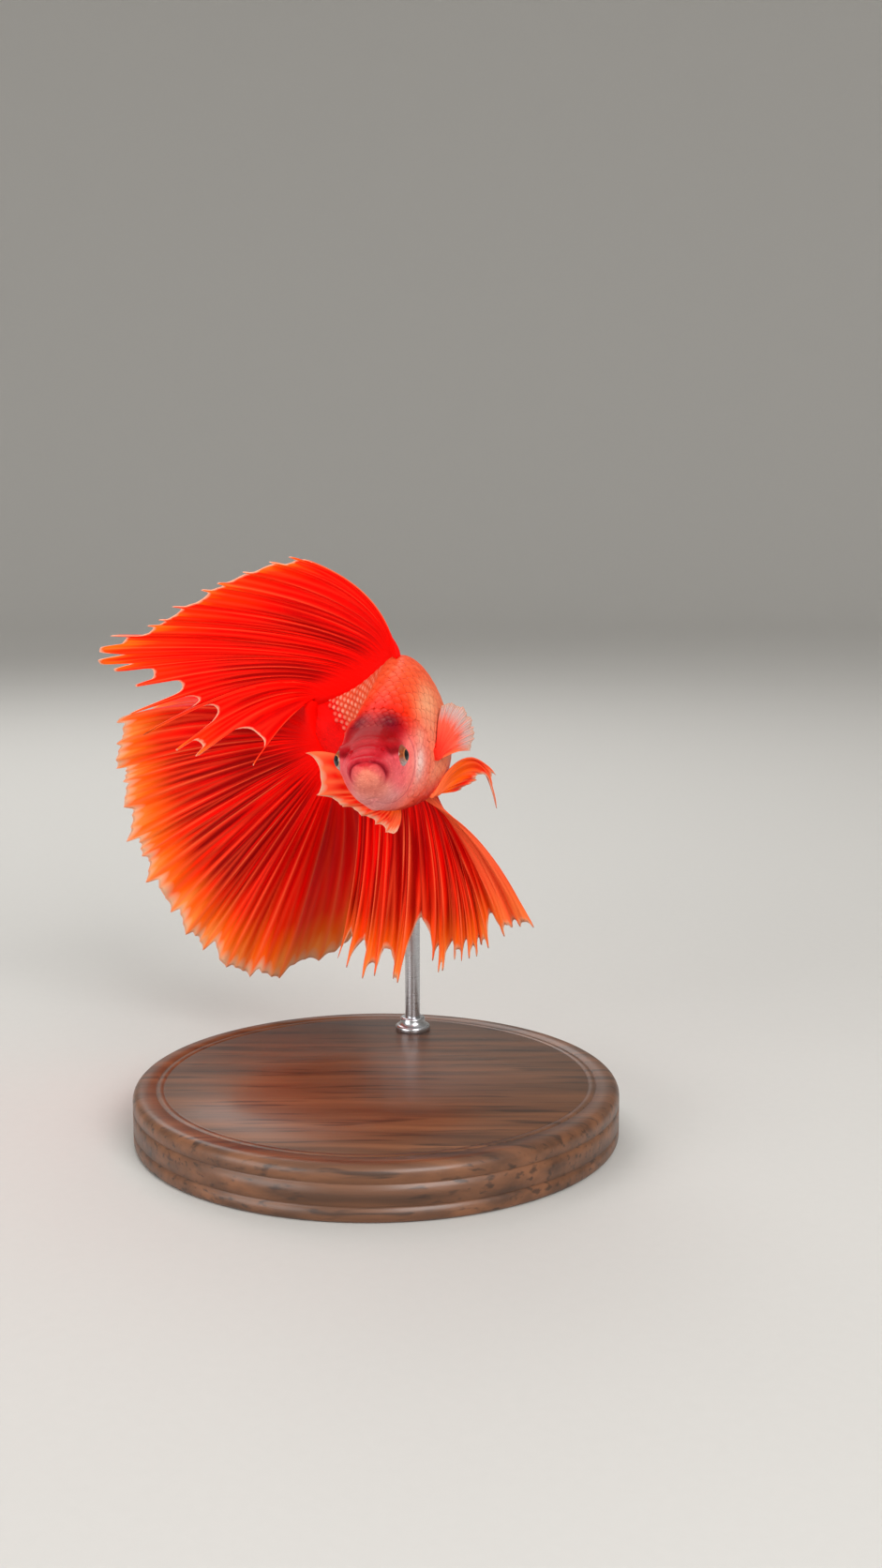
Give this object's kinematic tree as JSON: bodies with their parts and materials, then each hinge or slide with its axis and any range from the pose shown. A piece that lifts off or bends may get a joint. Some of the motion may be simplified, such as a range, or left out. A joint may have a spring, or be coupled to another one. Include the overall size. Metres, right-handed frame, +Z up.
{
  "type": "betta fish",
  "caption": "Life-size still model of a red male halfmoon betta, fins spread in a turning pose, held on a round wooden display stand by a bent steel rod.",
  "frame": {"origin": "centre of the stand base's underside, which rests on the surface", "axes": "+Z up; the fish's head faces -Y and its left side is towards +X"},
  "size_m": [0.0608, 0.0665, 0.0639],
  "materials": {
    "fish_skin": "moist scarlet and orange skin with small scales, pink cheeks and a dark crown",
    "eye": "clear wet cornea over a golden brown iris and black pupil",
    "red_fin": "thin scarlet fin membrane with paler rays and an orange to cream margin",
    "clear_fin": "thin translucent fin membrane, red at the root",
    "base_wood": "dark walnut, satin oil",
    "rod_steel": "bent stainless steel rod"
  },
  "bodies": {
    "root": {"head": "fish_skin", "lower_jaw": "fish_skin", "gill_cover_left": "fish_skin", "gill_cover_right": "fish_skin", "trunk": "fish_skin", "tail": "fish_skin", "eye_left": "eye", "eye_right": "eye", "dorsal_fin": "red_fin", "caudal_fin": "red_fin", "anal_fin": "red_fin", "pelvic_fin_left": "red_fin", "pelvic_fin_right": "red_fin", "pectoral_fin_left": "clear_fin", "pectoral_fin_right": "clear_fin", "stand_base": "base_wood", "stand_rod": "rod_steel"}
  },
  "joints": []
}
